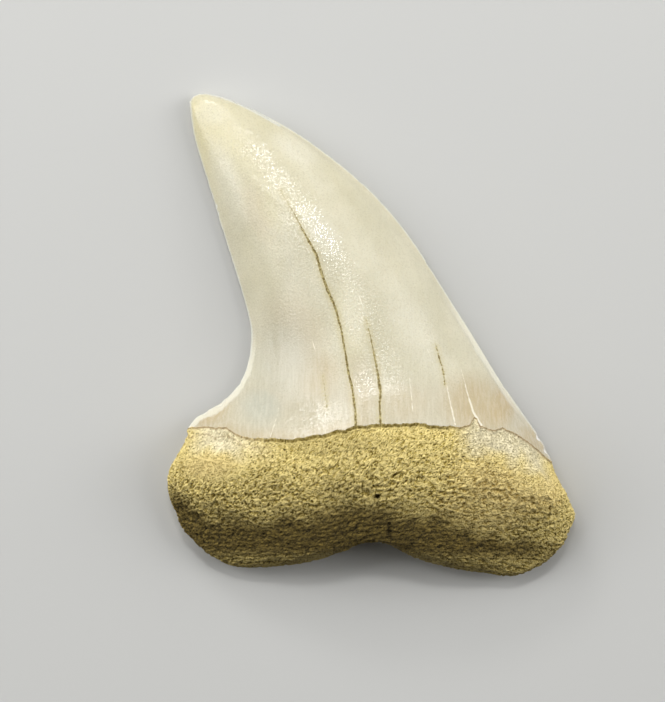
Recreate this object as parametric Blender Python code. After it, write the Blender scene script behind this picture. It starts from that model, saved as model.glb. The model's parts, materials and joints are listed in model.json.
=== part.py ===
"""Fossil shark tooth: one solid, lying on its flatter (labial) face with its rounded (lingual) face up.

The tooth is drawn as two sheets over one plan: the lingual face above and the labial face below, joined
by a narrow wall that is the cutting edge round the crown and the rounded rim round the root. The plan is a
grid with two fields, the root below the enamel's lower edge and the crown above it. Each is filled between
its four sides and then relaxed, so that the waves of one side die out within a few rows.

Plan points are in millimetres, X towards the long edge of the crown, Y towards the tip.
"""

import math

import bmesh
import bpy
import numpy as np

MM = 0.001

# Plan of the tooth. Each line runs between the same corners: the two ends of the enamel's lower edge, the
# two outer corners of the root and the two sides of the blunt tip.
ENAMEL_FOOT = (
    (-19.9, -10.0), (-17.1, -9.8), (-14.9, -10.1), (-13.0, -10.9), (-9.3, -11.0), (-6.7, -10.8),
    (-4.0, -10.2), (-1.9, -9.6), (1.0, -9.4), (5.2, -9.5), (8.5, -9.7), (11.8, -9.9), (14.6, -10.3),
    (17.0, -11.7), (19.9, -14.0),
)
SHORT_EDGE = (
    (-19.9, -10.0), (-19.0, -8.9), (-16.7, -7.6), (-15.0, -6.2), (-13.9, -4.7), (-13.2, -2.0),
    (-13.1, 0.6), (-13.8, 3.6), (-14.8, 7.0), (-16.5, 12.3), (-18.1, 17.5), (-19.3, 21.5), (-19.8, 24.7),
)
LONG_EDGE = (
    (19.9, -14.0), (18.7, -11.5), (16.9, -8.9), (14.1, -4.9), (10.9, 0.4), (7.6, 5.6), (4.2, 10.9),
    (-0.3, 16.1), (-6.8, 21.3), (-11.4, 24.0), (-14.4, 25.4),
)
TIP = ((-19.8, 24.7), (-19.8, 25.7), (-19.2, 26.3), (-18.3, 26.5), (-16.5, 26.2), (-14.4, 25.4))
SHORT_SIDE_OF_ROOT = ((-21.9, -18.3), (-22.4, -16.1), (-22.0, -14.1), (-20.8, -12.0), (-19.9, -10.0))
LONG_SIDE_OF_ROOT = ((22.3, -20.5), (22.4, -19.2), (21.5, -17.2), (20.5, -15.4), (19.9, -14.0))
ROOT_FOOT = (
    (-21.9, -18.3), (-21.0, -20.8), (-19.4, -22.8), (-17.8, -24.1), (-15.9, -25.2), (-13.8, -25.7),
    (-11.4, -25.7), (-9.0, -25.5), (-6.4, -25.0), (-3.8, -24.1), (-2.0, -23.3), (-0.6, -22.6), (0.8, -22.5),
    (2.0, -23.0), (3.4, -23.9), (5.0, -24.8), (7.2, -25.5), (9.8, -25.9), (12.0, -26.2), (14.2, -26.5),
    (16.1, -26.4), (18.2, -25.7), (19.9, -24.4), (21.3, -22.8), (22.3, -20.5),
)

# Heights over the resting plane, against the way up the tooth: 0 at the root's foot, 1 at the enamel's
# lower edge, 2 at the tip. The rim is the outline's own height, and it lifts where the root's foot arches.
RIM_HEIGHT = ((0.0, 2.2), (0.5, 2.3), (0.85, 2.0), (1.0, 1.6), (1.25, 1.2), (1.6, 1.0), (2.0, 0.9))
RIM_WALL = ((0.0, 0.9), (0.6, 0.9), (1.0, 0.35), (1.15, 0.22), (2.0, 0.22))
ARCH_LIFT, ARCH_AT, ARCH_REACH, ARCH_UP_TO = 3.2, 0.485, 0.11, 0.55
MIDDLE_HEIGHT = (
    (0.0, 6.8), (0.13, 7.9), (0.3, 9.3), (0.55, 10.8), (0.7, 11.2), (0.82, 11.3), (0.92, 11.1), (1.0, 10.6),
    (1.05, 9.7), (1.12, 8.7), (1.3, 7.7), (1.53, 6.6), (1.7, 5.1), (1.85, 3.7), (1.95, 2.7), (2.0, 2.3),
)
LOBE_HEIGHT = (
    (0.0, 3.4), (0.12, 4.4), (0.29, 6.3), (0.43, 7.9), (0.64, 9.5), (0.78, 10.0), (0.87, 10.1), (0.95, 10.0),
    (1.0, 9.8), (1.05, 9.1), (1.12, 8.2), (1.3, 7.5),
)
LOBE_FROM, LOBE_TO, LOBES_UP_TO = 0.1, 0.7, 1.3
# How each face falls off towards the outline: the power on the distance from the middle, then the power on
# the whole. A whole power near a half is a round rim and one above 1 is a thin blade.
ACROSS_POWER = ((0.0, 3.0), (0.6, 3.0), (1.0, 2.8), (1.3, 2.5), (1.6, 2.1), (2.0, 2.0))
WHOLE_POWER = (
    (0.0, 0.5), (0.6, 0.5), (0.85, 0.6), (1.0, 0.95), (1.12, 1.3), (1.4, 1.4), (1.65, 1.05), (2.0, 0.7),
)
CREST_SHIFT = ((0.0, 0.0), (1.0, 0.0), (1.3, -0.02), (1.7, -0.08), (2.0, -0.05))
FOOT_ROUNDING, ARCH_ROUNDING, TIP_ROUNDING = 0.12, 0.3, 0.05

# The labial face is nearly flat. It stands off the resting plane under the crown's foot and touches on the
# two lobes and on the crown, where it is worn flat.
LABIAL_WORN = 0.12
LABIAL_HOLLOW, HOLLOW_AT, HOLLOW_REACH = 1.0, 0.98, 0.33
LABIAL_POWER = ((0.0, 8.0), (0.8, 8.0), (1.1, 3.5), (2.0, 2.4))

COLUMNS, ROOT_ROWS, CROWN_ROWS = 44, 17, 30
EDGE_CROWDING = 0.45
RELAXINGS = 14
SPLINE_STEPS = 12
SHARP_FROM = math.radians(40)


def read(table, place):
    """The value of a table of (place, value) pairs on a smooth curve through them."""
    last = len(table) - 1
    k = next((i for i in range(last) if place <= table[i + 1][0]), last - 1)
    (x1, y1), (x2, y2) = table[k], table[k + 1]
    x0, y0 = table[k - 1] if k else (2 * x1 - x2, 2 * y1 - y2)
    x3, y3 = table[k + 2] if k + 2 <= last else (2 * x2 - x1, 2 * y2 - y1)
    width = x2 - x1
    t = (place - x1) / width
    slope1 = width * (y2 - y0) / (x2 - x0)
    slope2 = width * (y3 - y1) / (x3 - x1)
    t2, t3 = t * t, t * t * t
    return (
        (2 * t3 - 3 * t2 + 1) * y1 + (t3 - 2 * t2 + t) * slope1 + (3 * t2 - 2 * t3) * y2 + (t3 - t2) * slope2
    )


def smooth_line(points):
    """A fine line on a Catmull-Rom spline through the points."""
    p = np.array(points)
    p = np.vstack([2 * p[0] - p[1], p, 2 * p[-1] - p[-2]])
    t = np.arange(SPLINE_STEPS)[:, None] / SPLINE_STEPS
    pieces = [
        0.5 * (2 * b + (c - a) * t + (2 * a - 5 * b + 4 * c - d) * t**2 + (3 * b - a - 3 * c + d) * t**3)
        for a, b, c, d in zip(p, p[1:], p[2:], p[3:])
    ]
    return np.vstack([*pieces, p[-2]])


def spread(points, shares):
    """Points at these shares of the length of the smooth line through the points."""
    line = smooth_line(points)
    lengths = np.append(0.0, np.cumsum(np.linalg.norm(np.diff(line, axis=0), axis=1)))
    return np.column_stack([np.interp(shares * lengths[-1], lengths, line[:, k]) for k in (0, 1)])


def crowded(count, share=EDGE_CROWDING):
    """Shares from 0 to 1 that lie closer together at both ends."""
    even = np.linspace(0.0, 1.0, count + 1)
    return (1 - share) * even + share * (1 - np.cos(math.pi * even)) / 2


def between(shares):
    """Each inner share's place between its two neighbours, from 0 to 1."""
    return (shares[1:-1] - shares[:-2]) / (shares[2:] - shares[:-2])


def field(near, far, left, right, across, along):
    """Rows of plan points that fill the field between its four sides."""
    s, v = across[None, :, None], along[:, None, None]
    near, far = spread(near, across)[None], spread(far, across)[None]
    left, right = spread(left, along)[:, None], spread(right, along)[:, None]
    low_corners = (1 - s) * near[:, :1] + s * near[:, -1:]
    high_corners = (1 - s) * far[:, :1] + s * far[:, -1:]
    grid = (1 - v) * (near - low_corners) + v * (far - high_corners) + (1 - s) * left + s * right
    s, v = between(across)[None, :, None], between(along)[:, None, None]
    for _ in range(RELAXINGS):
        sideways = (1 - s) * grid[1:-1, :-2] + s * grid[1:-1, 2:]
        endways = (1 - v) * grid[:-2, 1:-1] + v * grid[2:, 1:-1]
        grid[1:-1, 1:-1] = (sideways + endways) / 2
    return grid


def ease(share):
    """A smooth step from 0 to 1."""
    share = min(max(share, 0.0), 1.0)
    return share * share * (3 - 2 * share)


def rounded(distance, reach):
    """A quarter round: 0 at the rim, 1 from this reach inwards."""
    return math.sqrt(1 - (1 - min(distance / reach, 1.0)) ** 2)


def arch(s, q):
    """How far a place is in the arch between the root's lobes: 1 in the notch, 0 away from it."""
    return math.exp(-(((s - ARCH_AT) / ARCH_REACH) ** 2)) * ease(1 - q / ARCH_UP_TO)


def rise_kept(s, q):
    """How much of its rise the lingual face keeps here: 1 along the crest, 0 at the rim."""
    crest = read(CREST_SHIFT, q)
    u = 2 * s - 1
    u = (u - crest) / (1 - crest if u > crest else 1 + crest)
    across = max(0.0, 1 - abs(u) ** read(ACROSS_POWER, q)) ** read(WHOLE_POWER, q)
    return across * rounded(q, FOOT_ROUNDING) * rounded(2 - q, TIP_ROUNDING)


def lingual_height(s, q):
    rim = read(RIM_HEIGHT, q) + read(RIM_WALL, q) / 2 + ARCH_LIFT * arch(s, q)
    lobe = ease((abs(2 * s - 1) - LOBE_FROM) / (LOBE_TO - LOBE_FROM)) if q < LOBES_UP_TO else 0.0
    top = (1 - lobe) * read(MIDDLE_HEIGHT, q) + lobe * read(LOBE_HEIGHT, q)
    return rim + (top - rim) * rise_kept(s, q)


def labial_height(s, q):
    u = abs(2 * s - 1)
    in_arch = arch(s, q)
    rim = read(RIM_HEIGHT, q) - read(RIM_WALL, q) / 2 + ARCH_LIFT * in_arch
    fall = 1 - u ** read(LABIAL_POWER, q)
    reach = FOOT_ROUNDING + (ARCH_ROUNDING - FOOT_ROUNDING) * in_arch
    sunk = fall * rounded(q, reach) * rounded(2 - q, TIP_ROUNDING)
    hollow = LABIAL_HOLLOW * math.exp(-(((q - HOLLOW_AT) / HOLLOW_REACH) ** 2)) * (1 - u * u)
    return max(0.0, rim * (1 - sunk) + hollow - LABIAL_WORN * sunk)


def tooth_mesh():
    """The two sheets and the wall between them."""
    across, root_rows, crown_rows = crowded(COLUMNS), crowded(ROOT_ROWS), crowded(CROWN_ROWS)
    root = field(ROOT_FOOT, ENAMEL_FOOT, SHORT_SIDE_OF_ROOT, LONG_SIDE_OF_ROOT, across, root_rows)
    crown = field(ENAMEL_FOOT, TIP, SHORT_EDGE, LONG_EDGE, across, crown_rows)
    plan = np.concatenate([root, crown[1:]])
    ways_up = np.append(root_rows, 1 + crown_rows[1:])
    rows = len(ways_up) - 1

    bm = bmesh.new()
    bmesh.ops.create_grid(bm, x_segments=COLUMNS, y_segments=rows, size=0.5)
    place = bm.verts.layers.int.new("place")
    for vert in bm.verts:
        vert[place] = round((vert.co.y + 0.5) * rows) * (COLUMNS + 1) + round((vert.co.x + 0.5) * COLUMNS)
    raised = bmesh.ops.extrude_face_region(bm, geom=bm.faces[:])["geom"]
    upper = {element for element in raised if isinstance(element, bmesh.types.BMVert)}
    for vert in bm.verts:
        row, column = divmod(vert[place], COLUMNS + 1)
        height = lingual_height if vert in upper else labial_height
        x, y = plan[row, column]
        vert.co = (x * MM, y * MM, height(across[column], ways_up[row]) * MM)
    bmesh.ops.recalc_face_normals(bm, faces=bm.faces[:])
    mesh = bpy.data.meshes.new("tooth")
    bm.to_mesh(mesh)
    bm.free()
    return mesh


def fossil_material():
    material = bpy.data.materials.new("fossil tooth")
    material.use_nodes = True
    surface = material.node_tree.nodes["Principled BSDF"]
    surface.inputs["Base Color"].default_value = (0.66, 0.56, 0.36, 1.0)
    surface.inputs["Roughness"].default_value = 0.5
    surface.inputs["Metallic"].default_value = 0.0
    return material


def build():
    for old in list(bpy.data.objects):
        bpy.data.objects.remove(old)
    mesh = tooth_mesh()
    mesh.materials.append(fossil_material())
    mesh.shade_smooth()
    mesh.set_sharp_from_angle(angle=SHARP_FROM)
    tooth = bpy.data.objects.new("tooth", mesh)
    bpy.context.scene.collection.objects.link(tooth)


build()
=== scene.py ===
import json
import math

import bmesh
import bpy
import numpy as np
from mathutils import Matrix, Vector, kdtree, noise

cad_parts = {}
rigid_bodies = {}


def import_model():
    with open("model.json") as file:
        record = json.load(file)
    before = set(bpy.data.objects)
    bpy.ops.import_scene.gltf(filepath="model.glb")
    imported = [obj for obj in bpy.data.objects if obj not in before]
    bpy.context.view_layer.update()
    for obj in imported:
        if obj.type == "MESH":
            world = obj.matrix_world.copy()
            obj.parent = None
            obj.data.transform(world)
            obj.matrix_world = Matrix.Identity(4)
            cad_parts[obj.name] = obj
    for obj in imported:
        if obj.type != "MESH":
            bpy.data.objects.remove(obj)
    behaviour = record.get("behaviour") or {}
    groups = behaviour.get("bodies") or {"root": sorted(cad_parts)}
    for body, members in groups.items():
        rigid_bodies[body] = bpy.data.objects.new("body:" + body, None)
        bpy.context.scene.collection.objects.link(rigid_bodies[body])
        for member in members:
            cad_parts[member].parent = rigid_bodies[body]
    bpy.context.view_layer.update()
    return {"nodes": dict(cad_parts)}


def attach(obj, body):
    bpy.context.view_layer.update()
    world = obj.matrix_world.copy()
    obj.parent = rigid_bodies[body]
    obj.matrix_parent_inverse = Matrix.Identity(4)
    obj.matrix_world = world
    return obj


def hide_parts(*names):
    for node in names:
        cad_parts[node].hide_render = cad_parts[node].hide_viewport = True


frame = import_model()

# ---------------------------------------------------------------------------------------------------
# The tooth's form. One solid piece, as it grew: a crown under a cap of enameloid, on a root of
# bone-like dentine. The CAD model's shape is rounded, then cut fine enough for pores and cracks.
# All plan sizes below are in millimetres, x towards the long side and y towards the tip.
# ---------------------------------------------------------------------------------------------------

MM = 0.001
UPWARD = 0.1  # a face whose normal rises more than this is on the lingual side

# The enameloid's lower edge, its foot, on the lingual face, from the short side to the long side.
ENAMEL_FOOT = (
    (-19.8, -10.1), (-17.7, -9.9), (-15.6, -9.95), (-14.1, -10.8), (-12.2, -11.0), (-10.6, -11.1),
    (-8.6, -11.1), (-6.7, -10.8), (-4.2, -10.3), (-2.0, -9.7), (0.2, -9.5), (2.0, -9.4), (5.3, -9.4),
    (7.0, -9.7), (9.5, -9.8), (10.4, -9.5), (10.9, -8.8), (11.2, -9.0), (11.6, -9.7), (12.9, -10.1),
    (14.2, -10.0), (15.5, -10.6), (17.0, -11.6), (18.4, -12.7), (19.6, -13.8),
)
# On the labial face the enameloid comes further down in the middle.
LABIAL_DROP, LABIAL_REACH = 1.9, 17.0

# Sediment-filled cracks: x, y and width of each point, from the tip's end down to the foot. Where the
# width is below 0, the crack has closed up and shows mostly by its stain.
CRACKS = (
    ((-9.8, 15.6, -0.13), (-8.2, 12.8, -0.07), (-7.0, 10.5, 0.03), (-5.9, 8.5, 0.14), (-5.3, 6.4, 0.15),
     (-4.7, 4.7, 0.18), (-3.9, 2.9, 0.08), (-3.3, 0.7, 0.08), (-2.9, -1.5, 0.1), (-2.5, -4.0, 0.12),
     (-2.1, -5.6, 0.1), (-1.8, -7.8, 0.1), (-1.7, -9.7, 0.15)),
    ((-0.6, 1.5, -0.06), (-0.1, -0.4, 0.0), (0.3, -2.4, 0.04), (0.6, -4.0, 0.07), (0.9, -6.0, 0.09),
     (0.8, -7.7, 0.07), (0.9, -9.6, 0.12)),
    ((6.9, -1.1, -0.06), (7.3, -2.6, -0.02), (7.7, -4.0, 0.0), (7.8, -5.3, -0.04)),
    ((-5.2, -4.4, -0.1), (-5.0, -6.0, -0.06), (-4.8, -7.7, -0.09)),
)
# Fine healed crazes, which show as pale lines.
CRAZES = (
    ((8.0, -5.3, -0.02), (8.2, -6.6, 0.04), (8.8, -9.5, 0.06)),
    ((9.6, -3.6, -0.05), (10.2, -6.0, 0.03), (10.8, -8.2, 0.12), (11.6, -9.6, 0.2)),
    ((4.0, -4.6, -0.06), (4.2, -6.6, 0.0), (4.3, -8.2, 0.0), (4.4, -8.9, -0.05)),
    ((-6.4, -0.4, -0.05), (-6.2, -1.2, 0.02), (-5.9, -2.0, -0.05)),
    ((-1.5, 4.5, -0.05), (-1.2, 3.7, 0.02), (-0.9, 2.9, -0.05)),
    ((-9.9, -6.7, -0.09), (-10.0, -8.2, -0.06), (-10.4, -9.6, -0.02), (-10.8, -10.8, 0.0)),
    ((5.9, -1.4, -0.06), (6.4, -2.6, -0.03), (6.9, -4.0, -0.06)),
)


def smooth(value, start, end):
    """Rises smoothly from 0 at start to 1 at end."""
    t = np.clip((value - start) / (end - start), 0.0, 1.0)
    return t * t * (3.0 - 2.0 * t)


def points_of(piece):
    """The place of each of a mesh's points in millimetres, and its normal."""
    count = len(piece.data.vertices)
    places, normals = np.empty(count * 3), np.empty(count * 3)
    piece.data.vertices.foreach_get("co", places)
    piece.data.vertices.foreach_get("normal", normals)
    return places.reshape(-1, 3) / MM, normals.reshape(-1, 3)


def faces_of(piece):
    """The middle of each of a mesh's faces in millimetres, and its normal."""
    count = len(piece.data.polygons)
    places, normals = np.empty(count * 3), np.empty(count * 3)
    piece.data.polygons.foreach_get("center", places)
    piece.data.polygons.foreach_get("normal", normals)
    return places.reshape(-1, 3) / MM, normals.reshape(-1, 3)


def ragged_foot():
    """The enameloid's lower edge as close-set points, with the small scallops it broke along."""
    x = np.arange(ENAMEL_FOOT[0][0], ENAMEL_FOOT[-1][0], 0.04)
    y = np.interp(x, *np.array(ENAMEL_FOOT).T)
    wave = [0.16 * noise.noise(Vector((v * 0.9, 3.1, 0.0))) + 0.12 * noise.noise(Vector((v * 2.6, 7.7, 0.0)))
            + 0.06 * noise.noise(Vector((v * 6.5, 1.3, 0.0))) for v in x]
    return x, y + np.array(wave)


FOOT_X, FOOT_Y = ragged_foot()


def above_foot(places, normals):
    """How far each place lies above the enameloid's lower edge, in millimetres, below it negative."""
    labial = smooth(-normals[:, 2], -0.1, 0.2)
    drop = LABIAL_DROP * np.clip(1.0 - (places[:, 0] / LABIAL_REACH) ** 2, 0.0, 1.0) * labial
    slope = np.gradient(np.interp(FOOT_X, *np.array(ENAMEL_FOOT).T), FOOT_X)
    flatness = 1.0 / np.sqrt(1.0 + np.interp(places[:, 0], FOOT_X, slope) ** 2)
    return (places[:, 1] - np.interp(places[:, 0], FOOT_X, FOOT_Y) + drop) * flatness


FAR = 9.0  # millimetres, past which the distance to a line makes no difference


def from_lines(places, lines):
    """The plan distance from each place to the nearest edge of these lines, inside a line negative."""
    nearest = np.full(len(places), FAR)
    for line in lines:
        for (x0, y0, w0), (x1, y1, w1) in zip(line, line[1:]):
            along, start = np.array((x1 - x0, y1 - y0)), np.array((x0, y0))
            t = np.clip((places[:, :2] - start) @ along / (along @ along), 0.0, 1.0)
            gap = np.linalg.norm(places[:, :2] - start - t[:, None] * along, axis=1)
            nearest = np.minimum(nearest, gap - (w0 + t * (w1 - w0)) / 2)
    return nearest


def cut_finer(piece, chosen):
    """Cuts each chosen face in four."""
    bpy.ops.object.mode_set(mode="EDIT")
    bpy.ops.mesh.select_all(action="DESELECT")
    shape = bmesh.from_edit_mesh(piece.data)
    for face, wanted in zip(shape.faces, chosen.tolist()):
        if wanted:
            face.select_set(True)
    bmesh.update_edit_mesh(piece.data)
    bpy.ops.mesh.subdivide(number_cuts=1, smoothness=1.0)
    bpy.ops.object.mode_set(mode="OBJECT")


def shape_by(piece, kind, where, **settings):
    """Adds one modifier that works as strongly as where says at each point, from 0 to 1, and applies it."""
    group = piece.vertex_groups.new(name="where")
    for index in np.nonzero(where > 0.002)[0].tolist():
        group.add([index], float(where[index]), "REPLACE")
    modifier = piece.modifiers.new(kind, kind)
    modifier.vertex_group = "where"
    for name, value in settings.items():
        setattr(modifier, name, value)
    bpy.ops.object.modifier_apply(modifier=modifier.name)
    piece.vertex_groups.clear()


tooth = bpy.data.objects.new("fossil_tooth", frame["nodes"]["tooth"].data.copy())
bpy.context.collection.objects.link(tooth)
bpy.ops.object.select_all(action="DESELECT")
tooth.select_set(True)
bpy.context.view_layer.objects.active = tooth
bpy.context.tool_settings.mesh_select_mode = (False, False, True)

bpy.ops.object.mode_set(mode="EDIT")
bpy.ops.mesh.select_all(action="SELECT")
bpy.ops.mesh.remove_doubles(threshold=0.01 * MM)
bpy.ops.mesh.customdata_custom_splitnormals_clear()
bpy.ops.mesh.tris_convert_to_quads(face_threshold=math.pi, shape_threshold=math.pi)
bpy.ops.object.mode_set(mode="OBJECT")

rounding = tooth.modifiers.new("rounding", "SUBSURF")
rounding.levels = rounding.render_levels = 2
bpy.ops.object.modifier_apply(modifier="rounding")

# The labial face of the crown is smooth and nearly flat, so it needs fewer faces.
places, normals = points_of(tooth)
plain = (normals[:, 2] < -0.6) & (above_foot(places, normals) > 0.6)
shape_by(tooth, "DECIMATE", plain.astype(float), ratio=0.6)

# The root's upper faces are cut in four, then those beside cracks and crazes, and last the cracks' own
# and the foot's. Each pass reaches this far from its lines.
places, normals = faces_of(tooth)
cut_finer(tooth, (normals[:, 2] > UPWARD) & (above_foot(places, normals) < 0.4))
for lines, reach, and_foot in ((CRACKS + CRAZES, 0.26, False), (CRACKS, 0.14, True)):
    places, normals = faces_of(tooth)
    up = above_foot(places, normals)
    chosen = (from_lines(places, lines) < reach) & (up > -0.3)
    if and_foot:
        chosen |= np.abs(up) < reach
    cut_finer(tooth, (normals[:, 2] > UPWARD) & chosen)

# ---------------------------------------------------------------------------------------------------
# Its surface. The crown has a keen edge, chipped in places, and shrinkage cracks. The root is pitted
# all over by pores and grooves. All of it is pressed in from the form, so the tooth keeps its size.
# ---------------------------------------------------------------------------------------------------


def measure(piece, name, values):
    """Stores one number for each of a mesh's points, which the materials read by this name."""
    attribute = piece.data.attributes.new(name, "FLOAT", "POINT")
    attribute.data.foreach_set("value", np.asarray(values, np.float32))


def press(piece, depth, where, texture=None, grain=None):
    """Presses the surface in by this depth in millimetres, times where and times the texture."""
    coordinates = "OBJECT" if texture else "LOCAL"
    shape_by(piece, "DISPLACE", where, strength=-depth * MM, mid_level=0.0, texture=texture,
             texture_coords=coordinates, texture_coords_object=grain)


def grain_of(length, width, turn):
    """An empty whose axes are one grain of a pattern: its length and width in millimetres, and its turn."""
    empty = bpy.data.objects.new("grain", None)
    bpy.context.collection.objects.link(empty)
    empty.scale = (length * MM, width * MM, width * MM)
    empty.rotation_euler.z = math.radians(turn)
    bpy.context.view_layer.update()
    return empty


def pattern(kind, dark=None, light=None, **settings):
    """A grey texture, one grain across. Dark and light are the levels that become 0 and 1, if clipped."""
    made = bpy.data.textures.new(kind.lower(), kind)
    made.noise_scale = 1.0
    for name, value in settings.items():
        setattr(made, name, value)
    if dark is not None:
        made.use_color_ramp = True
        made.color_ramp.interpolation = "EASE"
        low, high = made.color_ramp.elements
        low.position, high.position = min(dark, light), max(dark, light)
        low.color = (0, 0, 0, 1) if dark < light else (1, 1, 1, 1)
        high.color = (1, 1, 1, 1) if dark < light else (0, 0, 0, 1)
    return made


def ovals(places, *spots):
    """1 in the middle of each oval and 0 past its rim: x, y, half length, half width, turn, strength."""
    most = np.zeros(len(places))
    for x, y, length, width, turn, strength in spots:
        c, s = math.cos(math.radians(turn)), math.sin(math.radians(turn))
        dx, dy = places[:, 0] - x, places[:, 1] - y
        away = np.hypot((dx * c + dy * s) / length, (dy * c - dx * s) / width)
        most = np.maximum(most, strength * (1.0 - smooth(away, 0.25, 1.0)))
    return most


# The long side's corner of the crown, where its edge is too blunt to find by its slope.
CORNER = (
    (13.6, -4.1), (15.6, -7.1), (17.5, -9.7), (18.3, -10.9), (19.0, -12.0), (19.5, -13.1), (19.7, -13.6),
)


def rim_gap(piece, places, normals, up):
    """The plan distance from each point to the crown's cutting edge."""
    rim = (np.abs(normals[:, 2]) < 0.35) & (up > -0.3) & (places[:, 0] < CORNER[0][0])
    ends = np.empty(len(piece.data.edges) * 2, np.int32)
    piece.data.edges.foreach_get("vertices", ends)
    ends = ends.reshape(-1, 2)[rim[ends.reshape(-1, 2)].all(axis=1)]
    line = np.concatenate([places[ends[:, 0]] * (1 - t) + places[ends[:, 1]] * t for t in (0, 0.33, 0.67)])
    corner_x = np.arange(CORNER[0][0], CORNER[-1][0], 0.1)
    corner_y = np.interp(corner_x, *np.array(CORNER).T)
    line = np.concatenate([line, np.stack([corner_x, corner_y, 0 * corner_x], axis=1)])
    tree = kdtree.KDTree(len(line))
    for index, (x, y, _) in enumerate(line.tolist()):
        tree.insert((x, y, 0.0), index)
    tree.balance()
    return np.array([tree.find((x, y, 0.0))[2] for x, y, _ in places.tolist()])


# Where each point lies: above the foot or below it, underneath, on the lingual face, and its distance
# from each line. Wander and drift are fine and slow noises that keep the lines from running smooth.
places, normals = points_of(tooth)
form = places.copy()
up = above_foot(places, normals)
under = smooth(-normals[:, 1], 0.15, 0.8)
lingual = smooth(normals[:, 2], -0.1, 0.15)
root = 1.0 - smooth(up, -0.06, 0.06)
crown = 1.0 - root
wander = np.array([noise.noise(place) for place in (places * 3.5).tolist()])
drift = np.array([noise.noise(place) for place in (places * 0.5).tolist()])
to_crack = from_lines(places, CRACKS) + 0.06 * wander - 0.015
to_craze = from_lines(places, CRAZES) + 0.04 * wander
to_rim = rim_gap(tooth, places, normals, up)

# The lip of the enameloid stands over the root in the middle and fades out towards both ends: the root
# is pressed in below it, and once more in a narrow groove straight beneath it.
lip = smooth(places[:, 0], -15.5, -10.0) * (1.0 - smooth(places[:, 0], 6.5, 10.8)) * 0.85 + 0.15
LIP_HEIGHT, LIP_GROOVE = 0.16, 0.15
press(tooth, LIP_HEIGHT, root * lip * smooth(to_rim, 0.1, 0.8))
press(tooth, LIP_GROOVE, np.exp(-((up + 0.16) / 0.12) ** 2) * lip * lingual * root)

# Root: slow lumps all over, and close knobs on the ends of both lobes.
LUMP_DEPTH, KNOB_DEPTH = 0.30, 0.30
inside = root * smooth(-up, 0.0, 0.6) * smooth(to_rim, 0.0, 0.5)
press(tooth, LUMP_DEPTH, inside, pattern("CLOUDS", noise_depth=1), grain_of(3.2, 2.2, 20))
lobes = ovals(places, (18.3, -18.9, 3.8, 3.0, 0, 1), (-18.0, -19.0, 4.5, 3.5, 0, 0.8))
press(tooth, KNOB_DEPTH, inside * lobes, pattern("CLOUDS", 0.4, 0.65, noise_depth=1), grain_of(1.1, 0.6, -20))
lumpy = points_of(tooth)[0]

# Its pits are shallow where it was polished at both ends and round the foramen, and deepest on the worn
# lower half. Short pits lean one way near the foot and another in each third below it. The lower slope
# has longer streaks. Round pores and a fine grain lie over all of it.
PIT_DEPTH, STREAK_DEPTH, PORE_DEPTH, GRAIN_DEPTH = 0.21, 0.14, 0.10, 0.07
polished = ovals(places, (-16.8, -13.5, 5.5, 3.6, 0, 1), (14.7, -12.8, 5.0, 3.0, -35, 0.6),
                 (17.8, -15.6, 4.2, 2.8, -30, 1), (-0.1, -17.7, 0.9, 0.6, 30, 1))
calm = inside * (1.0 - 0.75 * polished)
worn = calm * (0.5 + 0.5 * smooth(-up, 1.0, 7.0))
west, east = 1.0 - smooth(places[:, 0], -9.0, -2.0), smooth(places[:, 0], 2.0, 9.0)
top, slope = 1.0 - smooth(-up, 3.0, 6.0), np.maximum(under, smooth(-up, 7.5, 10.5))
LEANS = ((46, top), (28, (1 - top) * west), (42, (1 - top) * (1 - west - east)), (2, (1 - top) * east))
for turn, share in LEANS:
    press(tooth, PIT_DEPTH, worn * share * (1.0 - 0.7 * slope), pattern("CLOUDS", 0.42, 0.64, noise_depth=2),
          grain_of(0.5, 0.24, turn))
    press(tooth, STREAK_DEPTH, inside * slope * share, pattern("CLOUDS", 0.4, 0.62, noise_depth=1),
          grain_of(1.3, 0.26, turn * 0.8 - 15))
press(tooth, PORE_DEPTH, calm * (1.0 - 0.6 * slope), pattern("VORONOI", 0.4, 0.1), grain_of(0.34, 0.28, 42))
press(tooth, GRAIN_DEPTH, calm, pattern("CLOUDS", 0.35, 0.65, noise_depth=1), grain_of(0.22, 0.16, 30))

# The nutrient foramen, a small hole in the middle of the root, and the two ends of the groove below it.
FORAMEN_DEPTH, GROOVE_DEPTH = 0.7, 0.16
groove_ends = ovals(places, (1.9, -21.0, 1.2, 0.45, 95, 1), (-0.5, -21.4, 0.35, 0.35, 0, 1))
press(tooth, FORAMEN_DEPTH, ovals(places, (0.55, -17.4, 0.6, 0.4, 20, 1)) * lingual)
press(tooth, GROOVE_DEPTH, groove_ends * lingual)

# Crown: cracks are open grooves, crazes are shallow ones, the lower half of the edge is ground to a
# bevel, and long faint flutes run from the foot to the tip.
CRACK_DEPTH, CRAZE_DEPTH, BEVEL_DEPTH, FLUTE_DEPTH = 0.13, 0.03, 0.08, 0.07
edge = 1.0 - smooth(to_rim, 0.4, 0.8)
press(tooth, CRACK_DEPTH, crown * lingual * (1.0 - smooth(to_crack, -0.05, 0.06)))
press(tooth, CRAZE_DEPTH, crown * lingual * (1.0 - smooth(to_craze, -0.02, 0.08)))
press(tooth, BEVEL_DEPTH, crown * lingual * edge * smooth(-places[:, 1], -6.0, 0.0))
press(tooth, FLUTE_DEPTH, crown * smooth(to_rim, 0.2, 1.5), pattern("CLOUDS", noise_depth=0),
      grain_of(9.0, 1.6, 98))

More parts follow.
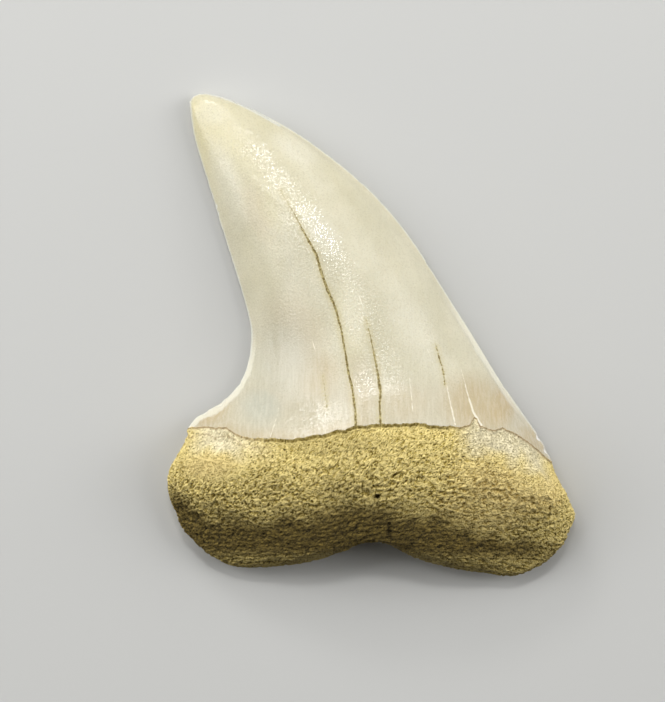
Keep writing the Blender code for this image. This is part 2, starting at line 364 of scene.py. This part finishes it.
# The ridge from the tip down to the first crack is keener than the CAD model's: it stands out a little,
# and the swelling on its long side is taken down.
RIDGE = (
    (-16.2, 22.9, 0), (-14.9, 20.5, 0), (-13.9, 18.3, 0), (-12.5, 16.6, 0), (-11.0, 15.2, 0),
    (-8.8, 13.7, 0), (-6.7, 12.1, 0),
)
RIDGE_WIDTH, RIDGE_RISE, SWELLING_DEPTH = 0.8, 0.09, 0.1
keen = np.exp(-(from_lines(places, (RIDGE,)) / RIDGE_WIDTH) ** 2)
faded = smooth(-places[:, 1], -22.5, -19.0) * smooth(places[:, 1], 11.5, 15.0)
press(tooth, -RIDGE_RISE, crown * lingual * keen * faded)
press(tooth, SWELLING_DEPTH, crown * lingual * ovals(places, (-9.0, 17.4, 5.6, 2.7, -46, 1)))

# Chips out of the cutting edge: x, y, reach and depth. The rest of the edge is nibbled very slightly.
CHIPS = (
    (-17.4, 15.3, 0.35, 0.14), (-16.9, 14.2, 0.4, 0.24), (-16.6, 13.3, 0.35, 0.18), (-17.9, 17.1, 0.3, 0.08),
    (-1.2, 16.7, 0.35, 0.12), (1.2, 14.4, 0.4, 0.16), (6.3, 7.7, 0.4, 0.15), (8.9, 2.9, 0.35, 0.14),
    (14.6, -5.6, 0.4, 0.12), (18.4, -11.2, 0.5, 0.2), (19.2, -12.6, 0.45, 0.2), (-16.5, -7.5, 0.5, 0.16),
    (-18.2, -8.4, 0.5, 0.16), (-14.3, -5.4, 0.4, 0.12),
)
places, normals = points_of(tooth)
outward = normals[:, :2] / np.maximum(np.linalg.norm(normals[:, :2], axis=1), 0.2)[:, None]
bite = np.array([
    0.05 * (0.5 + noise.noise(Vector((x * 1.7, y * 1.7, 5.0))))
    + 0.04 * noise.noise(Vector((x * 4, y * 4, 2.0)))
    for x, y, _ in places.tolist()
])
for x, y, reach, depth in CHIPS:
    gap = np.hypot(places[:, 0] - x, places[:, 1] - y)
    bite = np.maximum(bite, 1.6 * depth * (1.0 - smooth(gap, 0.3 * reach, reach)))
near_rim = crown * (1.0 - smooth(to_rim, 0.05, 0.6)) * smooth(1.0 - np.abs(normals[:, 2]), 0.1, 0.9)
places[:, :2] -= outward * (bite * near_rim)[:, None]
tooth.data.vertices.foreach_set("co", (places * MM).ravel())
measure(tooth, "chip", smooth(bite * near_rim, 0.05, 0.14))
tooth.data.update()

# What the materials need to know of each point: how deep it was pressed, and its distance from each line.
places, normals = points_of(tooth)
measure(tooth, "relief", ((places - lumpy) * normals).sum(axis=1))
measure(tooth, "to_crack", np.minimum(to_crack, 3.0))
measure(tooth, "to_craze", np.minimum(to_craze, 3.0))
measure(tooth, "to_rim", np.minimum(to_rim, 5.0))
# lip: a band just below the enameloid's foot, painted brown: partly sediment, partly painted shadow under the
# lip.
measure(tooth, "lip", np.exp(-((up + 0.1) / 0.11) ** 2) * lip * (0.8 + 0.5 * wander))
# under: the faces turned away from the lamps, which the bone material paints in shade.
measure(tooth, "under", under)

# Stains on the root, with painted light and shade among them: cream where it was polished beside the
# enameloid at both ends, and gold past that, which on the long side's lobe is partly painted light.
# Dark on the lower slope, from a line that wanders along the root, is partly a darker stain and partly
# painted shade where the slope turns away from the lamps. Every spot is an oval.
x, y = form[:, 0], form[:, 1]
FOOT = ((-20, -10), (-14, -10.6), (-8, -11), (0, -9.6), (8, -9.7), (13, -10.2), (16, -11.2), (20, -14.2))
low = np.interp(x, *np.array(FOOT).T) - y + 1.5 * drift
short_end = (1.0 - smooth(low, 1.0, 3.7)) * (1.0 - smooth(x, -16.5, -9.0)) * smooth(x, -21.0, -17.0)
long_end = (1.0 - smooth(low, 1.3, 3.4)) * smooth(x, 8.0, 11.5) * (1.0 - smooth(x, 17.5, 20.0))
measure(tooth, "cream", np.maximum(short_end, long_end) * lingual)
# Gold: a real tone, and on the long side's lobe partly painted light that brightens it.
measure(tooth, "golden_and_lit", ovals(
    form, (-17.4, -14.0, 4.6, 2.2, 5, 1), (18.6, -16.9, 3.6, 3.4, 0, 0.8), (14.0, -16.5, 8.0, 4.4, -20, 0.9),
    (12.0, -18.8, 8.0, 3.6, -8, 0.6),
))
# The line: x, and how far below the origin the dark slope begins.
SHADE = (
    (-22, 15.6), (-18, 18.0), (-13, 18.5), (-8, 17.5), (-1, 16.6), (4, 17.2), (9, 18.5), (14, 20.3),
    (22, 22.1),
)
past = smooth(drift - y - np.interp(x, *np.array(SHADE).T), -0.5, 3.2)
# Dark patches: partly darker stain and partly painted shade; the last one is painted shadow in the foramen's
# hole.
patches = ovals(
    form, (-4.5, -11.4, 8.0, 2.0, 0, 0.27), (-17.0, -14.4, 5.0, 2.5, 5, 0.12),
    (-12.0, -15.4, 5.0, 2.2, 0, 0.15), (-3.0, -16.6, 5.5, 2.2, 0, 0.35), (-11.0, -16.0, 2.4, 1.2, 0, 0.25),
    (0.5, -17.4, 0.8, 0.5, 20, 0.7),
)
measure(tooth, "dark", lingual * np.maximum((1.0 - 0.45 * smooth(-y, 22.9, 25.3)) * past, patches))

# Stains on the crown, with painted light and shade among them: bluish and brownish clouds, which on the
# lower left, on the left flank and in the band just above the foot on the short side are partly painted
# shade over a real tone; paler clouds, partly a real tone and partly painted light that lifts the flanks
# beside the ridge; and a warm tint that grows towards the tip on the short side.
# Bluish: partly a real tone, partly painted shade on the crown's lower left.
measure(tooth, "cool_and_shaded", ovals(form, (-11.8, -7.6, 3.4, 3.0, 0, 0.8), (-10.0, -2.5, 5.5, 7.5, 0, 0.6)))
# Brownish: real stains, with painted shade in the ovals on the lower left and the left flank, and in the band
# above the foot on the short side.
brown = ovals(
    form, (11.0, -7.5, 5.0, 4.5, -30, 0.75), (13.9, -7.8, 2.6, 3.4, -20, 1),
    (17.6, -11.6, 3.5, 2.2, -35, 0.8), (-1.2, -5.6, 2.4, 4.8, 8, 0.35), (-6.5, -4.0, 4.5, 3.8, 0, 0.65),
    (-9.0, -1.5, 5.5, 7.5, 0, 0.65), (-17.6, -8.2, 3.0, 1.9, 15, 1.0), (-12.4, 13.2, 5.0, 1.8, 108, 0.3),
    (3.5, -7.3, 3.6, 2.6, 0, 0.3),
)
measure(tooth, "tan", brown + 0.5 * (1.0 - smooth(up, 0.0, 1.5)) * (1.0 - smooth(x, -3.0, 3.0)))
# Paler: partly a real tone, partly painted light on the flanks beside the ridge.
measure(tooth, "pale_and_lit", ovals(
    form, (-11.8, 8.4, 5.0, 2.6, 100, 0.3), (-17.4, 24.0, 2.4, 2.0, 0, 0.3),
    (-5.2, 10.8, 4.5, 2.0, -55, 0.45), (-6.0, 17.2, 4.0, 1.8, -48, 0.2), (-15.6, 16.5, 6.5, 2.2, 108, 0.45),
    (-8.0, 20.0, 4.5, 1.8, -38, 0.5), (4.6, 1.6, 3.4, 6.5, 20, 0.25), (-0.9, -5.2, 1.8, 2.6, 0, 0.6),
    (-2.0, 2.2, 5.5, 2.2, 98, 0.55),
))
towards_tip = smooth(y, 9.0, 25.0) * (1.0 - 0.7 * smooth(x + 0.65 * y + 2.1, -1.0, 4.0))
clouds = ovals(
    form, (-11.8, 8.4, 5.5, 3.2, 100, 0.4), (-2.2, 1.6, 5.5, 2.4, 98, 0.7),
    (-11.2, 14.0, 4.5, 2.2, 108, 0.4),
)
measure(tooth, "warm", np.maximum(towards_tip * (1.0 - 0.6 * smooth(y, 24.3, 26.3)), clouds))

# Thin brown seams: one along the foot where it has no lip, and one close below it on the short side.
flake = np.exp(-((up + 0.75 + 0.5 * drift) / 0.1) ** 2)
measure(tooth, "seam", np.exp(-((up + 0.06) / 0.09) ** 2) * (1.0 - lip)
        + 0.7 * flake * (1.0 - smooth(x, -13.0, -9.0)) * (0.6 + wander))

# Where the crown kept its polish, along the ridge and on the swelling above the foot, and where its edge
# was ground to a bevel, which is painted pale: partly the thin enameloid's own paleness and partly
# painted light on the bevel.
measure(tooth, "shine", ovals(
    form, (-11.5, 17.4, 7.5, 4.2, -50, 1), (-5.9, 11.6, 7.0, 5.0, -50, 1), (-6.8, -8.0, 4.2, 3.8, 0, 1),
    (-0.9, -5.6, 2.0, 2.6, 0, 1),
))
band = 1.0 - smooth(to_rim + 0.2 * wander + 0.25 * drift, 0.4, 0.8)
ends = np.where(x < 0, smooth(-y, -1.0, 4.0), 1.0 - smooth(x, 14.0, 17.5))
measure(tooth, "bevel", band * smooth(-y, -6.0, 1.0) * ends)

# The root's grain leans: x, and its angle there. Across is how far a point lies across that grain.
GRAIN_LEAN = ((-23, 24), (-9, 32), (-2, 44), (3, 42), (9, 14), (15, -6), (23, -26))
STEP = 0.1
run = np.arange(GRAIN_LEAN[0][0], GRAIN_LEAN[-1][0], STEP)
rise = np.cumsum(np.tan(np.radians(np.interp(run, *np.array(GRAIN_LEAN).T)))) * STEP
measure(tooth, "across", y - np.interp(x, run, rise))

bpy.ops.object.shade_smooth()
for empty in [o for o in bpy.data.objects if o.name.startswith("grain")]:
    bpy.data.objects.remove(empty)


def linear(code):
    """The linear colour of an sRGB hex value."""
    parts = [int(code[i:i + 2], 16) / 255 for i in (1, 3, 5)]
    return (*[p / 12.92 if p <= 0.04045 else ((p + 0.055) / 1.055) ** 2.4 for p in parts], 1.0)


def node(tree, kind, inputs=None, out=0, **settings):
    """Adds a node and returns one of its outputs. Each input is a value, or the output that feeds it.

    Map Range takes its value as 0, from 1 and 2 to 3 and 4. Mix takes its share as 0, numbers as 2 and 3,
    and colours as 6 and 7.
    """
    made = tree.nodes.new("ShaderNode" + kind)
    for name, value in settings.items():
        setattr(made, name, value)
    for socket, value in (inputs or {}).items():
        if isinstance(value, bpy.types.NodeSocket):
            tree.links.new(value, made.inputs[socket])
        else:
            made.inputs[socket].default_value = value
    return made.outputs[out]


# Enameloid, polished by growth and by burial: dense, ivory to grey and satin, with a gloss that breaks
# into sparks along the ridge. It is paler where it thins at the edge, and dirt fills its cracks.
# Patterns lie on the place in millimetres, so a scale of 4 gives grains a quarter of a millimetre apart.
enamel = bpy.data.materials.new("fossil enameloid, naturally polished")
enamel.use_nodes = True
tree = enamel.node_tree
skin = tree.nodes["Principled BSDF"]
skin.inputs["IOR"].default_value = 1.6
skin.inputs["Subsurface Weight"].default_value = 0.12
skin.inputs["Subsurface Radius"].default_value = (1.0, 0.8, 0.6)
skin.inputs["Subsurface Scale"].default_value = 0.8 * MM

spot = node(tree, "TexCoord", out="Object")
spot = node(tree, "VectorMath", {0: spot, "Scale": 1 / MM}, operation="SCALE")
height = node(tree, "SeparateXYZ", {0: spot}, out="Y")
clouds = node(tree, "TexNoise", {"Vector": spot, "Scale": 0.2, "Detail": 3.0, "Roughness": 0.55})
clouds = node(tree, "MapRange", {0: clouds, 1: 0.35, 2: 0.65}, interpolation_type="SMOOTHSTEP")
colour = node(tree, "Mix", {0: clouds, 6: linear("#cfc9ae"), 7: linear("#d7d1b7")}, out=2, data_type="RGBA")

warm = node(tree, "Attribute", out="Fac", attribute_name="warm")
colour = node(tree, "Mix", {0: warm, 6: colour, 7: linear("#dbd2a8")}, out=2, data_type="RGBA")
# Greyer towards the foot: partly a real tint, partly painted shade that tones down the slope rising to the
# root.
foot = node(tree, "MapRange", {0: height, 1: -3.5, 2: -7.0}, interpolation_type="SMOOTHSTEP")
colour = node(tree, "Mix", {0: foot, 6: colour, 7: linear("#c8c0a7")}, out=2, data_type="RGBA")
# Paler clouds are partly painted light; bluish and brownish ones partly painted shade.
pale_and_lit = node(tree, "Attribute", out="Fac", attribute_name="pale_and_lit")
colour = node(tree, "Mix", {0: pale_and_lit, 6: colour, 7: linear("#e6e2d0")}, out=2, data_type="RGBA")
tan = node(tree, "Attribute", out="Fac", attribute_name="tan")
colour = node(tree, "Mix", {0: tan, 6: colour, 7: linear("#c2af88")}, out=2, data_type="RGBA")
cool_and_shaded = node(tree, "Attribute", out="Fac", attribute_name="cool_and_shaded")
colour = node(tree, "Mix", {0: cool_and_shaded, 6: colour, 7: linear("#bfbfae")}, out=2, data_type="RGBA")

# Flutes of slightly different colour, a quarter of a millimetre apart, that strengthen towards the foot.
FLUTE_LEAN = math.radians(-8)
lengthways = node(tree, "Mapping",
                  {"Vector": spot, "Rotation": (0, 0, FLUTE_LEAN), "Scale": (4.0, 0.22, 1.0)})
flutes = node(tree, "TexNoise", {"Vector": lengthways, "Scale": 1.0, "Detail": 3.0, "Roughness": 0.6})
flutes = node(tree, "MapRange", {0: flutes, 1: 0.42, 2: 0.62})
low = node(tree, "MapRange", {0: height, 1: 2.0, 2: -9.0, 3: 0.05, 4: 0.22})
share = node(tree, "Math", {0: flutes, 1: low}, operation="MULTIPLY")
colour = node(tree, "Mix", {0: share, 6: colour, 7: linear("#e9e4d2")}, out=2, data_type="RGBA")

# Pebble and brownish specks, a fifth of a millimetre across.
pebble = node(tree, "TexNoise", {"Vector": spot, "Scale": 4.6, "Detail": 1.0, "Roughness": 0.5})
speck = node(tree, "TexNoise", {"Vector": spot, "Scale": 5.0, "Detail": 2.0, "Roughness": 0.7})
speck = node(tree, "MapRange", {0: speck, 1: 0.5, 2: 0.75, 3: 0.0, 4: 0.35})
colour = node(tree, "Mix", {0: speck, 6: colour, 7: linear("#a89d80")}, out=2, data_type="RGBA")

# The edge: thin and bluish, with its chips white, as the crazes are, and its bevel white too, partly its
# own paleness and partly painted light.
rim = node(tree, "Attribute", out="Fac", attribute_name="to_rim")
rim = node(tree, "MapRange", {0: rim, 1: 0.0, 2: 0.25, 3: 0.6, 4: 0.0}, interpolation_type="SMOOTHSTEP")
colour = node(tree, "Mix", {0: rim, 6: colour, 7: linear("#e6e9e4")}, out=2, data_type="RGBA")
chip = node(tree, "Attribute", out="Fac", attribute_name="chip")
colour = node(tree, "Mix", {0: chip, 6: colour, 7: linear("#f4f2ea")}, out=2, data_type="RGBA")
bevel = node(tree, "Attribute", out="Fac", attribute_name="bevel")
bevel = node(tree, "Math", {0: bevel, 1: 0.8}, operation="MULTIPLY")
colour = node(tree, "Mix", {0: bevel, 6: colour, 7: linear("#ece8d4")}, out=2, data_type="RGBA")
craze = node(tree, "Attribute", out="Fac", attribute_name="to_craze")
craze = node(tree, "MapRange", {0: craze, 1: 0.0, 2: 0.09, 3: 0.9, 4: 0.0}, interpolation_type="SMOOTHSTEP")
colour = node(tree, "Mix", {0: craze, 6: colour, 7: linear("#f2ecd8")}, out=2, data_type="RGBA")

# Cracks: sediment of two browns in them, and a grainy stain that has soaked in beside them.
crack = node(tree, "Attribute", out="Fac", attribute_name="to_crack")
stain = node(tree, "MapRange", {0: crack, 1: 0.0, 2: 0.7, 3: 0.42, 4: 0.0}, interpolation_type="SMOOTHSTEP")
stained = node(tree, "MapRange", {0: pebble, 1: 0.4, 2: 0.6, 3: 0.4, 4: 1.5})
stain = node(tree, "Math", {0: stain, 1: stained}, operation="MULTIPLY")
colour = node(tree, "Mix", {0: stain, 6: colour, 7: linear("#c7bb8e")}, out=2, data_type="RGBA")
dirt = node(tree, "MapRange", {0: crack, 1: -0.03, 2: 0.12, 3: 1.0, 4: 0.0}, interpolation_type="SMOOTHSTEP")
grit = node(tree, "MapRange", {0: pebble, 1: 0.4, 2: 0.6})
grit = node(tree, "Mix", {0: grit, 6: linear("#c4b782"), 7: linear("#7d6c38")}, out=2, data_type="RGBA")
colour = node(tree, "Mix", {0: dirt, 6: colour, 7: grit}, out=2, data_type="RGBA")
tree.links.new(colour, skin.inputs["Base Color"])

# Sparks: each bundle of crystals ends in a tiny face of its own tilt. They are drawn a tenth of a
# millimetre across, coarser than they are, because finer ones would not show.
shine = node(tree, "Attribute", out="Fac", attribute_name="shine")
gloss = node(tree, "MapRange", {0: shine, 3: 0.25, 4: 0.1})
gloss = node(tree, "Mix", {0: dirt, 2: gloss, 3: 0.9}, data_type="FLOAT")
tree.links.new(gloss, skin.inputs["Roughness"])
facets = node(tree, "TexVoronoi", {"Vector": spot, "Scale": 9.5, "Randomness": 1.0}, out="Color")
facets = node(tree, "VectorMath", {0: facets, 1: (0.5, 0.5, 0.5)}, operation="SUBTRACT")
tilt = node(tree, "MapRange", {0: shine, 3: 0.13, 4: 0.19})
facets = node(tree, "VectorMath", {0: facets, "Scale": tilt}, operation="SCALE")
surface = node(tree, "NewGeometry", out="Normal")
facets = node(tree, "VectorMath", {0: surface, 1: facets}, operation="ADD")
facets = node(tree, "VectorMath", {0: facets}, operation="NORMALIZE")
bumps = node(tree, "Bump", {"Height": pebble, "Strength": 1.0, "Distance": 0.03 * MM, "Normal": facets})
bumps = node(tree, "Bump", {"Height": flutes, "Strength": 0.5, "Distance": 0.01 * MM, "Normal": bumps})
tree.links.new(bumps, skin.inputs["Normal"])

# Osteodentine, the bone-like tissue of the root, weathered: dull and sandy, pale on the high grains and
# dark olive in the pores, where the sediment it lay in still holds. Both follow each place's level, so
# the dark of the pores is partly painted shade and the pale of the high grains partly painted light. Its
# sand is drawn at 0.13 to 0.2 mm across, coarser than it is, because finer sand would not show.
bone = bpy.data.materials.new("fossil osteodentine, weathered")
bone.use_nodes = True
tree = bone.node_tree
skin = tree.nodes["Principled BSDF"]
skin.inputs["Roughness"].default_value = 0.8
skin.inputs["Specular IOR Level"].default_value = 0.35

spot = node(tree, "TexCoord", out="Object")
spot = node(tree, "VectorMath", {0: spot, "Scale": 1 / MM}, operation="SCALE")
across = node(tree, "Attribute", out="Fac", attribute_name="across")
along = node(tree, "SeparateXYZ", {0: spot}, out="X")
depth = node(tree, "SeparateXYZ", {0: spot}, out="Z")
leaning = node(tree, "CombineXYZ", {0: along, 1: across, 2: depth})
leaning = node(tree, "Mapping", {"Vector": leaning, "Scale": (0.7, 1.0, 1.0)})

# Level: how high each place stands, from the pressed relief, the sand, the grain and the round pores.
relief = node(tree, "Attribute", out="Fac", attribute_name="relief")
relief = node(tree, "MapRange", {0: relief, 1: -0.3, 2: -0.05}, interpolation_type="SMOOTHSTEP")
sand = node(tree, "TexVoronoi", {"Vector": leaning, "Scale": 5.0, "Randomness": 1.0})
sand = node(tree, "MapRange", {0: sand, 1: 0.62, 2: 0.2})
speckle = node(tree, "TexVoronoi", {"Vector": leaning, "Scale": 7.5, "Randomness": 1.0}, out="Color")
sand = node(tree, "Mix", {0: 0.55, 2: sand, 3: speckle}, data_type="FLOAT")
grain = node(tree, "TexNoise", {"Vector": leaning, "Scale": 6.2, "Detail": 1.0, "Roughness": 0.6})
grain = node(tree, "MapRange", {0: grain, 1: 0.44, 2: 0.56})
grain = node(tree, "Mix", {0: 0.7, 2: grain, 3: sand}, data_type="FLOAT")
pores = node(tree, "TexVoronoi", {"Vector": leaning, "Scale": 4.0, "Randomness": 1.0})
pores = node(tree, "MapRange", {0: pores, 1: 0.12, 2: 0.3, 3: 0.2, 4: 1.0}, interpolation_type="SMOOTHSTEP")
level = node(tree, "Mix", {0: 0.65, 2: relief, 3: grain}, data_type="FLOAT")
level = node(tree, "MapRange", {0: level, 1: 0.17, 2: 0.69})
level = node(tree, "Math", {0: level, 1: pores}, operation="MULTIPLY")
streaks = node(tree, "Mapping", {"Vector": leaning, "Scale": (0.3, 1.0, 1.0)})
streaks = node(tree, "TexNoise", {"Vector": streaks, "Scale": 4.2, "Detail": 2.0, "Roughness": 0.6})
streaks = node(tree, "MapRange", {0: streaks, 1: 0.4, 2: 0.6})

# Colour by level: brown in the pits, ochre, then pale on the high grains, with gold and cream over it.
# The brown of the pits is partly sediment and partly painted shade, the pale partly painted light.
low = node(tree, "MapRange", {0: level, 1: 0.02, 2: 0.45})
colour = node(tree, "Mix", {0: low, 6: linear("#48380a"), 7: linear("#c8ae50")}, out=2, data_type="RGBA")
high = node(tree, "MapRange", {0: level, 1: 0.42, 2: 0.85})
colour = node(tree, "Mix", {0: high, 6: colour, 7: linear("#ffe99a")}, out=2, data_type="RGBA")
# Gold, partly painted light on the long side's lobe.
golden_and_lit = node(tree, "Attribute", out="Fac", attribute_name="golden_and_lit")
gold = node(tree, "Mix", {0: level, 6: linear("#c8a44e"), 7: linear("#ffe69c")}, out=2, data_type="RGBA")
golden_and_lit = node(tree, "Math", {0: golden_and_lit, 1: 0.85}, operation="MULTIPLY")
colour = node(tree, "Mix", {0: golden_and_lit, 6: colour, 7: gold}, out=2, data_type="RGBA")
cream = node(tree, "Attribute", out="Fac", attribute_name="cream")
mottle = node(tree, "TexNoise", {"Vector": spot, "Scale": 0.9, "Detail": 2.0, "Roughness": 0.6})
mottle = node(tree, "MapRange", {0: mottle, 1: 0.45, 2: 0.6, 3: 0.0, 4: 0.5})
light = node(tree, "Mix", {0: mottle, 6: linear("#fff4d0"), 7: linear("#cdc2a0")}, out=2, data_type="RGBA")
polish = node(tree, "Math", {0: mottle, 1: 1.8}, operation="MULTIPLY")
polish = node(tree, "Math", {0: polish, 1: level}, operation="MAXIMUM")
pale = node(tree, "Mix", {0: polish, 6: linear("#bdae7a"), 7: light}, out=2, data_type="RGBA")
cream = node(tree, "Math", {0: cream, 1: 0.9}, operation="MULTIPLY")
colour = node(tree, "Mix", {0: cream, 6: colour, 7: pale}, out=2, data_type="RGBA")

# Dark olive streaks on the lower slope and underneath: painted shade on the faces turned away from the
# lamps, and through the dark mask partly a darker stain. Brown lines under the enameloid's foot: the band
# under the lip is partly sediment and partly painted shadow, the seam a real brown line.
under = node(tree, "Attribute", out="Fac", attribute_name="under")
dark = node(tree, "Attribute", out="Fac", attribute_name="dark")
under = node(tree, "Math", {0: under, 1: 0.75}, operation="MULTIPLY")
under = node(tree, "Math", {0: under, 1: dark}, operation="MAXIMUM")
streaks = node(tree, "Mix", {0: 0.45, 2: level, 3: streaks}, data_type="FLOAT")
deep = node(tree, "Mix", {0: streaks, 6: linear("#140e00"), 7: linear("#8d7839")}, out=2, data_type="RGBA")
colour = node(tree, "Mix", {0: under, 6: colour, 7: deep}, out=2, data_type="RGBA")
# The band under the lip: partly sediment, partly painted shadow.
lip = node(tree, "Attribute", out="Fac", attribute_name="lip")
colour = node(tree, "Mix", {0: lip, 6: colour, 7: linear("#77641f")}, out=2, data_type="RGBA")
seam = node(tree, "Attribute", out="Fac", attribute_name="seam")
colour = node(tree, "Mix", {0: seam, 6: colour, 7: linear("#a0845c")}, out=2, data_type="RGBA")
tree.links.new(colour, skin.inputs["Base Color"])
bumps = node(tree, "Bump", {"Height": level, "Strength": 1.0, "Distance": 0.24 * MM})
tree.links.new(bumps, skin.inputs["Normal"])

# Each face takes the tissue of its side of the foot.
tooth.data.materials.clear()
tooth.data.materials.append(enamel)
tooth.data.materials.append(bone)
face_places, face_normals = faces_of(tooth)
tissue = (above_foot(face_places, face_normals) < 0.0).astype(np.int32)
tooth.data.polygons.foreach_set("material_index", tissue)

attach(tooth, "root")
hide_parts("tooth")

# ---------------------------------------------------------------------------------------------------
# The studio: a plain pale paper floor, with soft lamps on both sides and behind the tip. Two of them,
# the crest and ridge lamps, are small and high, and draw the gloss along the crown's ridge.
# ---------------------------------------------------------------------------------------------------

bpy.ops.mesh.primitive_plane_add(size=1.2)
floor = bpy.context.object
floor.name = "floor"
paper = bpy.data.materials.new("pale paper, matt")
paper.use_nodes = True
sheet = paper.node_tree.nodes["Principled BSDF"]
sheet.inputs["Base Color"].default_value = linear("#c9c9c6")
sheet.inputs["Roughness"].default_value = 0.9
floor.data.materials.append(paper)

# Name, place, width, depth and power in watts. All of them point at the middle of the tooth.
LAMPS = (
    ("back", (-0.17, 0.36, 0.21), 0.16, 0.05, 0.34), ("crest", (-0.01, 0.22, 0.38), 0.09, 0.04, 0.39),
    ("ridge", (-0.18, 0.135, 0.38), 0.06, 0.04, 0.12),
    ("left", (-0.45, 0.05, 0.35), 0.5, 0.4, 1.0), ("low left", (-0.50, 0.10, 0.18), 0.25, 0.25, 0.6),
    ("right", (0.45, 0.05, 0.35), 0.3, 0.3, 0.9), ("low right", (0.50, 0.10, 0.18), 0.25, 0.25, 0.75),
    ("left back", (-0.30, 0.35, 0.35), 0.5, 0.4, 1.0), ("right back", (0.30, 0.35, 0.35), 0.5, 0.4, 0.75),
)
MIDDLE = Vector((0, 0, 0.004))
for name, place, wide, deep, power in LAMPS:
    light = bpy.data.lights.new(name, "AREA")
    light.shape, light.size, light.size_y, light.energy = "RECTANGLE", wide, deep, power
    lamp = bpy.data.objects.new(name, light)
    lamp.location = place
    lamp.rotation_euler = (MIDDLE - lamp.location).to_track_quat("-Z", "Y").to_euler()
    bpy.context.collection.objects.link(lamp)

world = bpy.data.worlds.new("studio")
world.use_nodes = True
world.node_tree.nodes["Background"].inputs["Color"].default_value = (1.0, 1.0, 1.0, 1.0)
world.node_tree.nodes["Background"].inputs["Strength"].default_value = 0.02
bpy.context.scene.world = world
bpy.context.scene.view_settings.view_transform = "Standard"

# The camera looks straight down on a floor 702 image points long, each of them 0.11 mm.
CAMERA_HEIGHT, IMAGE_POINTS, POINT_SIZE = 0.240, 702, 0.11 * MM
FILM_WIDTH = 36
camera = bpy.data.objects.new("camera", bpy.data.cameras.new("camera"))
camera.location = (-4.18 * MM, -1.76 * MM, CAMERA_HEIGHT)
camera.data.lens = FILM_WIDTH * CAMERA_HEIGHT / (IMAGE_POINTS * POINT_SIZE)
camera.data.clip_start = 0.01
bpy.context.collection.objects.link(camera)
bpy.context.scene.camera = camera
